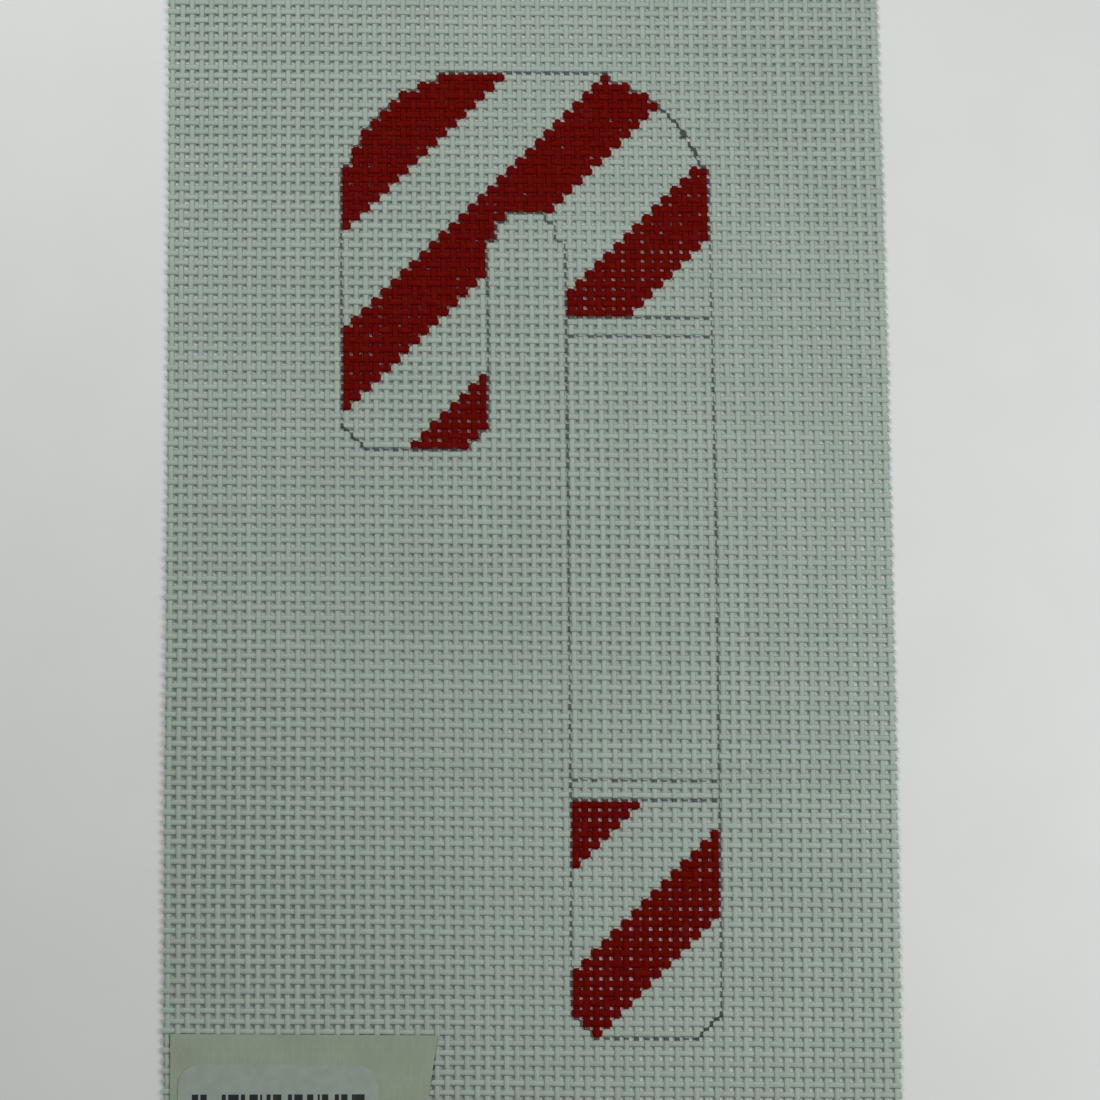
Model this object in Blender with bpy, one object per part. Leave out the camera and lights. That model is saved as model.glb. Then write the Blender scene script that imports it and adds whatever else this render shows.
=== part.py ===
"""A hand-painted needlepoint canvas with a striped cane design, lying flat, painted side up.

The canvas is a closed sheet whose size follows from its thread count, with the pen lines
round the design as shallow grooves. Each painted stripe is a thin film on it, in whole
stitches. A strip of tape with a rounded sticker lies on the lower left margin.

Metres, +Z up. X runs across the design, Y from its foot to its crook, and the origin is on
the underside, below the middle of the canvas.
"""

import math

import bmesh
import bpy

# The grid: one stitch is one crossing of two threads, and every size counts stitches.
THREADS_PER_INCH = 18
PITCH = 0.0254 / THREADS_PER_INCH
MARGIN = THREADS_PER_INCH                   # one inch of bare canvas all round

# The cane, in stitches from the upper left corner of the design, x across and y down.
CANE_WIDTH = 38
CANE_HEIGHT = 100
LIMB = 15                                   # width of the leg and of the stem
CROOK_RADIUS = 14
ARCH_TOP = 15                               # where the gap between leg and stem starts
ARCH_RISE = 5
LEG_END = 40
CHAMFER = 2.5                               # corners cut off the two lower ends

# The stripes climb at 45 degrees, so a stripe is a range of x + y.
STRIPE_WIDTH = 9
STRIPE_PERIOD = 19
CROOK_STRIPE_START = 8.5
STEM_STRIPE_START = 97.5
BAND_TOP, BAND_BOTTOM = 26, 76              # the blank band for a name, on the stem
BAND_LINES = (26, 28, 74, 76)

# The label, in stitches from the same corner.
TAPE_LEFT, TAPE_RIGHT = -17, 9.6
TAPE_TOP, TAPE_BOTTOM = 100, 117
TAPE_END_SLANT = 2.7                        # the cut end leans back to the left
STICKER_LEFT, STICKER_RIGHT = -16.4, 3.7
STICKER_TOP, STICKER_BOTTOM = 102.8, 115.6
STICKER_CORNER = 2.2
CORNER_STEPS = 6

# Thicknesses, in metres.
CANVAS_THICKNESS = 0.00055
PAINT_THICKNESS = 0.00010
PEN_WIDTH = 0.00028
PEN_DEPTH = 0.00012
TAPE_THICKNESS = 0.00015
STICKER_THICKNESS = 0.00012
CONTACT_GAP = 0.0003                        # between two pieces that touch
OVERCUT = 0.0002                            # how far a cutter stands out of what it cuts

HALF_WIDTH = CANE_WIDTH / 2
HALF_HEIGHT = CANE_HEIGHT / 2


def clear_scene():
    for obj in list(bpy.data.objects):
        bpy.data.objects.remove(obj, do_unlink=True)


def make_collection(name):
    collection = bpy.data.collections.new(name)
    bpy.context.scene.collection.children.link(collection)
    return collection


def make_material(name, color, roughness):
    material = bpy.data.materials.new(name)
    material.use_nodes = True
    shader = material.node_tree.nodes["Principled BSDF"]
    shader.inputs["Base Color"].default_value = (*color, 1.0)
    shader.inputs["Roughness"].default_value = roughness
    shader.inputs["Metallic"].default_value = 0.0
    return material


def to_canvas(x, y):
    """Stitches from the design's upper left corner, to metres on the canvas."""
    return (x - HALF_WIDTH) * PITCH, (HALF_HEIGHT - y) * PITCH


def in_crook(x, y):
    """The two round shoulders of the crook."""
    reach = abs(x - HALF_WIDTH) - (HALF_WIDTH - CROOK_RADIUS)
    drop = CROOK_RADIUS - y
    return reach <= 0 or drop <= 0 or math.hypot(reach, drop) <= CROOK_RADIUS


def in_gap(x, y):
    """The gap between leg and stem, under an arch."""
    half_gap = HALF_WIDTH - LIMB
    across = abs(x - HALF_WIDTH) / half_gap
    rise = max(ARCH_TOP + ARCH_RISE - y, 0) / ARCH_RISE
    return math.hypot(across, rise) < 1


def in_limb_end(x, y):
    """The lower ends of the leg and the stem, with their corners cut off."""
    on_leg = x < HALF_WIDTH
    left, right = (0, LIMB) if on_leg else (CANE_WIDTH - LIMB, CANE_WIDTH)
    above_end = (LEG_END if on_leg else CANE_HEIGHT) - y
    return above_end > 0 and min(x - left, right - x) + above_end > CHAMFER


def in_cane(x, y):
    in_box = 0 < x < CANE_WIDTH and 0 < y < CANE_HEIGHT
    return in_box and in_crook(x, y) and not in_gap(x, y) and in_limb_end(x, y)


def is_painted(x, y):
    on_stem = x > HALF_WIDTH
    if on_stem and BAND_TOP < y < BAND_BOTTOM:
        return False
    start = STEM_STRIPE_START if on_stem and y > BAND_BOTTOM else CROOK_STRIPE_START
    return (x + y - start) % STRIPE_PERIOD < STRIPE_WIDTH


def stitches(wanted):
    """The stitches whose middle the given test accepts, as (column, row) pairs."""
    return {
        (column, row)
        for column in range(CANE_WIDTH)
        for row in range(CANE_HEIGHT)
        if wanted(column + 0.5, row + 0.5)
    }


def outline_loops(cells):
    """Closed outlines of a set of stitches, as corners only, with the cells on one side."""
    follow = {}
    for column, row in cells:
        sides = (
            ((0, -1), (column, row), (column + 1, row)),
            ((1, 0), (column + 1, row), (column + 1, row + 1)),
            ((0, 1), (column + 1, row + 1), (column, row + 1)),
            ((-1, 0), (column, row + 1), (column, row)),
        )
        for (step_x, step_y), start, end in sides:
            if (column + step_x, row + step_y) not in cells:
                follow[start] = end

    loops = []
    while follow:
        start = min(follow)
        loop = [start]
        point = follow.pop(start)
        while point != start:
            loop.append(point)
            point = follow.pop(point)
        loops.append(keep_corners(loop))
    return loops


def keep_corners(loop):
    corners = []
    for index, point in enumerate(loop):
        before, after = loop[index - 1], loop[(index + 1) % len(loop)]
        straight = before[0] == point[0] == after[0] or before[1] == point[1] == after[1]
        if not straight:
            corners.append(point)
    return corners


def shifted_loop(loop, distance):
    """A stair-stepped outline moved outwards by a distance in stitches."""
    moved = []
    for index, (x, y) in enumerate(loop):
        shift_x = shift_y = 0
        before, after = loop[index - 1], loop[(index + 1) % len(loop)]
        for (x0, y0), (x1, y1) in ((before, (x, y)), ((x, y), after)):
            length = math.hypot(x1 - x0, y1 - y0)
            shift_x += (y1 - y0) / length * distance
            shift_y -= (x1 - x0) / length * distance
        moved.append((x + shift_x, y + shift_y))
    return moved


def flat_solid(name, loops, bottom, top, collection):
    """An extruded flat outline, as a closed mesh between two heights."""
    curve = bpy.data.curves.new(name, "CURVE")
    curve.dimensions = "2D"
    curve.fill_mode = "BOTH"
    curve.extrude = (top - bottom) / 2
    for loop in loops:
        spline = curve.splines.new("POLY")
        spline.points.add(len(loop) - 1)
        for point, (x, y) in zip(spline.points, loop):
            point.co = (*to_canvas(x, y), 0, 1)
        spline.use_cyclic_u = True
    guide = bpy.data.objects.new(name + "_curve", curve)
    guide.location.z = (top + bottom) / 2
    collection.objects.link(guide)

    bpy.context.view_layer.update()
    evaluated = guide.evaluated_get(bpy.context.evaluated_depsgraph_get())
    mesh = bpy.data.meshes.new_from_object(evaluated)
    mesh.name = name
    weld(mesh)
    solid = bpy.data.objects.new(name, mesh)
    solid.matrix_world = guide.matrix_world
    collection.objects.link(solid)
    bpy.data.objects.remove(guide, do_unlink=True)
    return solid


def weld(mesh):
    body = bmesh.new()
    body.from_mesh(mesh)
    bmesh.ops.remove_doubles(body, verts=body.verts, dist=1e-6)
    bmesh.ops.dissolve_limit(body, angle_limit=1e-3, verts=body.verts, edges=body.edges)
    bmesh.ops.recalc_face_normals(body, faces=body.faces)
    body.to_mesh(mesh)
    body.free()


def cut_groove(target, cutter):
    modifier = target.modifiers.new(cutter.name, "BOOLEAN")
    modifier.operation = "DIFFERENCE"
    modifier.object = cutter
    cutter.hide_render = True
    cutter.display_type = "WIRE"


def rectangle(left, top, right, bottom):
    return [(left, top), (right, top), (right, bottom), (left, bottom)]


def make_canvas(parts, cutters):
    """The woven sheet, cut along its threads, with the pen lines as grooves."""
    width = (CANE_WIDTH + 2 * MARGIN) * PITCH
    height = (CANE_HEIGHT + 2 * MARGIN) * PITCH
    bpy.ops.mesh.primitive_cube_add(size=1, location=(0, 0, CANVAS_THICKNESS / 2))
    canvas = bpy.context.object
    canvas.name = canvas.data.name = "canvas"
    canvas.scale = (width, height, CANVAS_THICKNESS)
    bpy.ops.object.transform_apply(location=False, rotation=False, scale=True)
    for collection in list(canvas.users_collection):
        collection.objects.unlink(canvas)
    parts.objects.link(canvas)

    half_pen = PEN_WIDTH / PITCH / 2
    floor = CANVAS_THICKNESS - PEN_DEPTH
    top = CANVAS_THICKNESS + OVERCUT
    rim = outline_loops(stitches(in_cane))[0]
    rings = [shifted_loop(rim, half_pen), shifted_loop(rim, -half_pen)]
    cut_groove(canvas, flat_solid("pen_outline", rings, floor, top, cutters))

    stem_left = CANE_WIDTH - LIMB
    for number, line in enumerate(BAND_LINES, 1):
        bar = rectangle(stem_left, line - half_pen, CANE_WIDTH, line + half_pen)
        cut_groove(canvas, flat_solid(f"pen_line_{number}", [bar], floor, top, cutters))
    return canvas


def make_stripes(parts):
    """One film for each painted patch, numbered from the upper left to the foot."""
    painted = stitches(lambda x, y: in_cane(x, y) and is_painted(x, y))
    bottom = CANVAS_THICKNESS + CONTACT_GAP
    patches = sorted(outline_loops(painted), key=lambda loop: min(y for x, y in loop))
    return [
        flat_solid(f"painted_stripe_{number}", [loop], bottom, bottom + PAINT_THICKNESS, parts)
        for number, loop in enumerate(patches, 1)
    ]


def make_tape(parts):
    """The strip of paper tape on the lower left margin, cut a little out of square."""
    bottom = CANVAS_THICKNESS + CONTACT_GAP
    outline = [
        (TAPE_LEFT, TAPE_TOP),
        (TAPE_RIGHT, TAPE_TOP),
        (TAPE_RIGHT - TAPE_END_SLANT, TAPE_BOTTOM),
        (TAPE_LEFT, TAPE_BOTTOM),
    ]
    return flat_solid("tape_label", [outline], bottom, bottom + TAPE_THICKNESS, parts)


def make_sticker(parts):
    """The sticker on the tape, a rectangle with round corners."""
    bottom = CANVAS_THICKNESS + TAPE_THICKNESS + 2 * CONTACT_GAP
    corners = (
        (STICKER_RIGHT - STICKER_CORNER, STICKER_TOP + STICKER_CORNER, -90),
        (STICKER_RIGHT - STICKER_CORNER, STICKER_BOTTOM - STICKER_CORNER, 0),
        (STICKER_LEFT + STICKER_CORNER, STICKER_BOTTOM - STICKER_CORNER, 90),
        (STICKER_LEFT + STICKER_CORNER, STICKER_TOP + STICKER_CORNER, 180),
    )
    outline = []
    for x, y, first_angle in corners:
        for step in range(CORNER_STEPS + 1):
            angle = math.radians(first_angle + 90 * step / CORNER_STEPS)
            outline.append((x + STICKER_CORNER * math.cos(angle),
                            y + STICKER_CORNER * math.sin(angle)))
    return flat_solid("code_sticker", [outline], bottom, bottom + STICKER_THICKNESS, parts)


def main():
    clear_scene()
    parts = make_collection("painted_needlepoint_canvas")
    cutters = make_collection("cutters")
    canvas = make_canvas(parts, cutters)
    stripes = make_stripes(parts)
    tape = make_tape(parts)
    sticker = make_sticker(parts)
    canvas.data.materials.append(make_material("canvas_thread", (0.72, 0.76, 0.72), 0.8))
    paint = make_material("red_paint", (0.36, 0.012, 0.008), 0.5)
    for stripe in stripes:
        stripe.data.materials.append(paint)
    tape.data.materials.append(make_material("paper_tape", (0.62, 0.63, 0.50), 0.55))
    sticker.data.materials.append(make_material("sticker_paper", (0.70, 0.74, 0.72), 0.5))


main()
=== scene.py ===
"""A hand-painted needlepoint canvas with a striped cane: its weave, paint, labels and light.

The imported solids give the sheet, the painted stripes, the tape and the sticker. Here the
sheet becomes single threads that pass over and under each other, painted stitch by stitch.
Metres throughout. X runs across the design, Y from its foot to its crook, Z off the table.
"""

import logging
import math
from dataclasses import dataclass, field
from enum import Enum, IntEnum

import bmesh
import bpy
import numpy as np
from bpy.types import Material, Mesh, Node, NodeSocket, Object
from mathutils import Matrix, Vector


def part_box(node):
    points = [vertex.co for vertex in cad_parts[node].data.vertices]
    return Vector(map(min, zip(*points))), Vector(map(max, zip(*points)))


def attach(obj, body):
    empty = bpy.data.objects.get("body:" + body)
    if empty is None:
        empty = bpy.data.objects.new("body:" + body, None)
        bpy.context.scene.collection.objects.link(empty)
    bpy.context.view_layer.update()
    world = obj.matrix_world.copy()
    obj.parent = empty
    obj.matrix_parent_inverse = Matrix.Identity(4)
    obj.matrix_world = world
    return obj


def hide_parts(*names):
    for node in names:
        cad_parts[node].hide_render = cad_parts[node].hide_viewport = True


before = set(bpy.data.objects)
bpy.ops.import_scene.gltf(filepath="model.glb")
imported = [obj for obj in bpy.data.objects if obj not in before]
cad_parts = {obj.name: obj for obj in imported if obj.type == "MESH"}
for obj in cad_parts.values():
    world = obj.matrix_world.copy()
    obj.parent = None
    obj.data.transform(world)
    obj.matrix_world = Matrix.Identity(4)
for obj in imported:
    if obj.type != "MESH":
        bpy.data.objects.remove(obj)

logging.basicConfig(level=logging.INFO, format="%(name)s: %(message)s")
LOG = logging.getLogger("needlepoint")

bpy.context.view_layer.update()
BODY = "root"
BAKE_MAP = "OFBake"
THREAD_MAP = "thread"
CHART_PLACE = "chart_place"
OVER_HOLE = "over_hole"
MILLIMETRE = 0.001
FAR = 9.0                                  # stitches, past the edge of every stroke
RAMP_INPUTS = ("Value", "From Min", "From Max", "To Min", "To Max")

Array = np.ndarray
Color = tuple[float, float, float]


class Slot(Enum):
    """The record's material slots."""

    THREAD = "canvas_thread"
    PAINT = "red_paint"
    TAPE = "paper_tape"
    STICKER = "sticker_paper"


class Run(IntEnum):
    """The two directions of thread in a plain weave."""

    WEFT = 0
    WARP = 1


class Dress(Enum):
    """Values that each thread vertex carries for its material."""

    PAINT = "paint"
    PEN = "pen"
    UPWARD = "upward"
    LOT = "lot"


def smooth_noise(rng: np.random.Generator, rows: int, columns: int, reach: int) -> Array:
    """Draws a smooth random field by averaging neighbours along the columns.

    Args:
        rng: The seeded source of the draw.
        rows: How many values run along each thread.
        columns: How many threads there are.
        reach: How many neighbours along a thread are averaged.

    Returns:
        A field of (rows, columns) with mean near 0 and spread near 1.
    """
    raw = rng.standard_normal((rows + 2 * reach, columns))
    total = np.cumsum(np.vstack([np.zeros((1, columns)), raw]), axis=0)
    span = 2 * reach + 1
    window = (total[span:] - total[:-span]) / math.sqrt(span)
    return window[:rows]


@dataclass(frozen=True)
class CaneChart:
    """The counted design. Stitches run x across and y down from its upper left corner."""

    width: int = 38
    height: int = 100
    limb: int = 15
    crook_radius: float = 14
    arch_top: float = 15
    arch_rise: float = 5
    leg_end: float = 40
    chamfer: float = 2.5
    stripe_width: float = 9
    stripe_period: float = 19
    crook_stripe_start: float = 8.5
    stem_stripe_start: float = 97.5
    band_top: float = 26
    band_bottom: float = 76
    band_lines: tuple[int, ...] = (26, 76)
    faint_lines: tuple[int, ...] = (28, 74)
    stroke_inset: float = 0.25             # of the crook's pen line, inside its painted edge
    stroke_reach: float = 4.2              # from the ends of the crook's curve to its stroke
    stroke_belt: float = 1.3               # beside that stroke, where no thread is marked
    corner_play: float = 0.6               # the same for the strokes across corners, past
    corner_belt: float = 0.2               # their ends and to their sides

    def in_cane(self, x: Array, y: Array) -> Array:
        """Tells which points lie inside the cane.

        Args:
            x: Stitches across.
            y: Stitches down.

        Returns:
            True where the point is inside.
        """
        half = self.width / 2
        inside = (x > 0) & (x < self.width) & (y > 0) & (y < self.height)

        reach = np.maximum(np.abs(x - half) - (half - self.crook_radius), 0)
        drop = np.maximum(self.crook_radius - y, 0)
        inside &= np.hypot(reach, drop) <= self.crook_radius

        across = np.abs(x - half) / (half - self.limb)
        rise = np.maximum(self.arch_top + self.arch_rise - y, 0) / self.arch_rise
        inside &= np.hypot(across, rise) >= 1

        above_end, from_side = self.end_gaps(x, y)
        return inside & (above_end > 0) & (above_end + from_side > self.chamfer)

    def end_gaps(self, x: Array, y: Array) -> tuple[Array, Array]:
        """Measures from points to the end of their limb and to its nearer side.

        Args:
            x: Stitches across.
            y: Stitches down.

        Returns:
            Stitches above the end, and stitches from the side.
        """
        on_leg = x < self.width / 2
        left = np.where(on_leg, 0, self.width - self.limb)
        above_end = np.where(on_leg, self.leg_end, self.height) - y
        return above_end, np.minimum(x - left, left + self.limb - x)

    def has_stroke(self, x: Array, y: Array) -> Array:
        """Tells where the pen ran free, across cut corners and round the crook.

        Args:
            x: Stitches across.
            y: Stitches down.

        Returns:
            True near such a stroke.
        """
        half = self.width / 2
        reach = np.abs(x - half) - (half - self.crook_radius)
        drop = self.crook_radius - y
        on_crook = (reach > self.stroke_reach) & (drop > self.stroke_reach)
        on_crook &= np.abs(np.hypot(reach, drop) - self.crook_radius) < self.stroke_belt

        above_end, from_side = self.end_gaps(x, y)
        on_corner = np.abs(above_end - from_side) < self.chamfer + self.corner_play
        on_corner &= np.abs(above_end + from_side - self.chamfer) < self.corner_belt
        return on_crook | on_corner

    def is_red(self, x: Array, y: Array) -> Array:
        """Tells which points of the cane lie on a painted stripe.

        Args:
            x: Stitches across.
            y: Stitches down.

        Returns:
            True where the point is painted.
        """
        on_stem = x > self.width / 2
        in_band = on_stem & (y > self.band_top) & (y < self.band_bottom)
        in_foot = on_stem & (y > self.band_bottom)
        start = np.where(in_foot, self.stem_stripe_start, self.crook_stripe_start)
        striped = (x + y - start) % self.stripe_period < self.stripe_width
        return self.in_cane(x, y) & striped & ~in_band


@dataclass(frozen=True)
class Sheet:
    """The canvas as cut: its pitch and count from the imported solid, and how it lies."""

    chart: CaneChart
    margin: int = 18
    low: Vector = field(default_factory=lambda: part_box("canvas")[0])
    high: Vector = field(default_factory=lambda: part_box("canvas")[1])
    pull: float = -0.0075                  # how far the weave is pulled off square
    bow: float = 0.5                       # stitches that its right side bows by
    wave_height: float = 0.16 * MILLIMETRE
    wave_across: float = 0.083
    wave_along: float = 0.121
    wave_phases: tuple[float, float] = (0.7, 2.1)

    @property
    def columns(self) -> int:
        """Warp threads, side by side."""
        return self.chart.width + 2 * self.margin

    @property
    def rows(self) -> int:
        """Weft threads, top to bottom."""
        return self.chart.height + 2 * self.margin

    @property
    def pitch(self) -> float:
        """Metres from one thread to the next."""
        return (self.high.x - self.low.x) / self.columns

    @property
    def thickness(self) -> float:
        """Metres from the table to the crowns of the weave."""
        return self.high.z - self.low.z

    def place(self, x: Array, y: Array) -> tuple[Array, Array]:
        """Turns stitches across and down into metres on the sheet as it lies."""
        return self.pulled((x - self.chart.width / 2) * self.pitch,
                           (self.chart.height / 2 - y) * self.pitch)

    def pulled(self, x: Array, y: Array) -> tuple[Array, Array]:
        """Moves places on a square sheet to where the pulled weave has them.

        Args:
            x: Metres across.
            y: Metres along.

        Returns:
            The moved X and Y.
        """
        share = (x - self.low.x) / (self.high.x - self.low.x)
        bowed = self.bow * self.pitch * share * (0.25 - (y / self.high.y) ** 2)
        return x + self.pull * y + bowed, y + self.pull * x

    def stitches(self, x: Array, y: Array) -> tuple[Array, Array]:
        """Turns metres on the sheet as it lies into stitches of the chart.

        Args:
            x: Metres across.
            y: Metres along.

        Returns:
            Stitches across from the design's left edge and down from its top edge.
        """
        moved_x, moved_y = self.pulled(x, y)
        square_x, square_y = 2 * x - moved_x, 2 * y - moved_y
        return (square_x / self.pitch + self.chart.width / 2,
                self.chart.height / 2 - square_y / self.pitch)

    def rise(self, x: Array, y: Array) -> Array:
        """Tells how far the sheet stands off the table in its soft waves.

        Args:
            x: Metres across.
            y: Metres along.

        Returns:
            Heights in metres, none below 0.
        """
        phase, slower_phase = self.wave_phases
        slow = np.sin(math.tau * (x / self.wave_across + y / self.wave_along) + phase)
        slower = np.sin(math.tau * (x - 0.6 * y) / (2 * self.wave_along) + slower_phase)
        return self.wave_height * (0.5 + 0.3 * slow + 0.2 * slower)


@dataclass(frozen=True, eq=False)
class Value:
    """What a node gives. Its sums and tests are written as usual and become Math nodes."""

    nodes: "NodeTable"
    socket: NodeSocket

    def __add__(self, other: object) -> "Value":
        """Adds a number or value."""
        return self.nodes.math("ADD", self, other)

    def __sub__(self, other: object) -> "Value":
        """Takes a number or value off."""
        return self.nodes.math("SUBTRACT", self, other)

    def __rsub__(self, other: object) -> "Value":
        """Takes this off a number."""
        return self.nodes.math("SUBTRACT", other, self)

    def __mul__(self, other: object) -> "Value":
        """Multiplies by a number or value."""
        return self.nodes.math("MULTIPLY", self, other)

    def __gt__(self, other: object) -> "Value":
        """Gives 1 where this is greater, else 0."""
        return self.nodes.math("GREATER_THAN", self, other)

    def __lt__(self, other: object) -> "Value":
        """Gives 1 where this is less, else 0."""
        return self.nodes.math("LESS_THAN", self, other)

    def __abs__(self) -> "Value":
        """Drops the sign."""
        return self.nodes.math("ABSOLUTE", self)


class NodeTable:
    """Adds nodes to one material and wires them as they are made."""

    def __init__(self, name: str) -> None:
        """Starts an empty material.

        Args:
            name: The material's name.
        """
        self.material = bpy.data.materials.new(name)
        self.material.use_nodes = True
        self.tree = self.material.node_tree
        self.tree.nodes.clear()

    def add(self, kind: str, inputs: dict | None = None, **settings: object) -> Node:
        """Adds a node.

        Args:
            kind: The node's type, without the word ShaderNode.
            inputs: Numbers, colours or values by input name or number.
            settings: The node's own properties.

        Returns:
            The new node.
        """
        node = self.tree.nodes.new("ShaderNode" + kind)
        for key, setting in settings.items():
            setattr(node, key, setting)
        for key, value in (inputs or {}).items():
            if isinstance(value, Value):
                self.tree.links.new(value.socket, node.inputs[key])
            else:
                node.inputs[key].default_value = value
        return node

    def give(self, output: int | str, kind: str, inputs: dict | None = None,
             **settings: object) -> Value:
        """Adds a node, as add does, and returns what it gives at one output."""
        return Value(self, self.add(kind, inputs, **settings).outputs[output])

    def math(self, operation: str, a: object, b: object = 0.0) -> Value:
        """Adds a Math node of this operation on one or two values."""
        return self.give(0, "Math", {0: a, 1: b}, operation=operation)

    def axes(self, vector: Value) -> list[Value]:
        """Splits a vector into its three values."""
        return [Value(self, output) for output in self.add("SeparateXYZ", {0: vector}).outputs]

    def length(self, a: Value, b: Value) -> Value:
        """Gives the hypotenuse over two sides."""
        return self.math("SQRT", a * a + b * b)

    def where(self, distance: Value, *tests: Value) -> Value:
        """Makes a distance large where it doesn't count.

        Args:
            distance: The distance.
            tests: Values of 1 where it counts, else 0.

        Returns:
            The distance, with FAR added for each failed test.
        """
        for test in tests:
            distance = distance + (1 - test) * FAR
        return distance

    def ramp(self, value: Value, low: float, high: float, to: tuple = (0.0, 1.0)) -> Value:
        """Turns a value smoothly from the first of to, at low, to its second, at high."""
        inputs = dict(zip(RAMP_INPUTS, (value, low, high, *to)))
        return self.give("Result", "MapRange", inputs, interpolation_type="SMOOTHSTEP")

    def mix(self, factor: Value, a: object, b: object) -> Value:
        """Mixes two colours, where the factor is the share of the second."""
        a, b = (color if isinstance(color, Value) else (*color, 1.0) for color in (a, b))
        return self.give(2, "Mix", {0: factor, 6: a, 7: b}, data_type="RGBA")

    def noise(self, place: Value, scale: float, detail: float = 2.0) -> Value:
        """Adds a noise of so many patches a metre."""
        return self.give("Fac", "TexNoise", {"Vector": place, "Scale": scale, "Detail": detail})

    def attribute(self, name: str) -> Value:
        """Reads a number that the vertices carry."""
        return self.give("Fac", "Attribute", attribute_name=name)

    def bump(self, height: Value, strength: float, distance: float, **before: Value) -> Value:
        """Adds a bump of this height times the distance, on a Normal if before has one."""
        inputs = {"Height": height, "Strength": strength, "Distance": distance, **before}
        return self.give("Normal", "Bump", inputs)

    def finish(self, color: Value, roughness: object, normal: Value,
               **plain: float) -> Material:
        """Closes the material with a Principled shader.

        Args:
            color: Base colour.
            roughness: Roughness, a number or a value.
            normal: The normal.
            plain: Further inputs by name, with underscores for spaces.

        Returns:
            The finished material.
        """
        inputs = {"Base Color": color, "Roughness": roughness, "Normal": normal}
        inputs.update({name.replace("_", " "): value for name, value in plain.items()})
        self.add("OutputMaterial", {"Surface": self.give(0, "BsdfPrincipled", inputs)})
        return self.material


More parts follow.
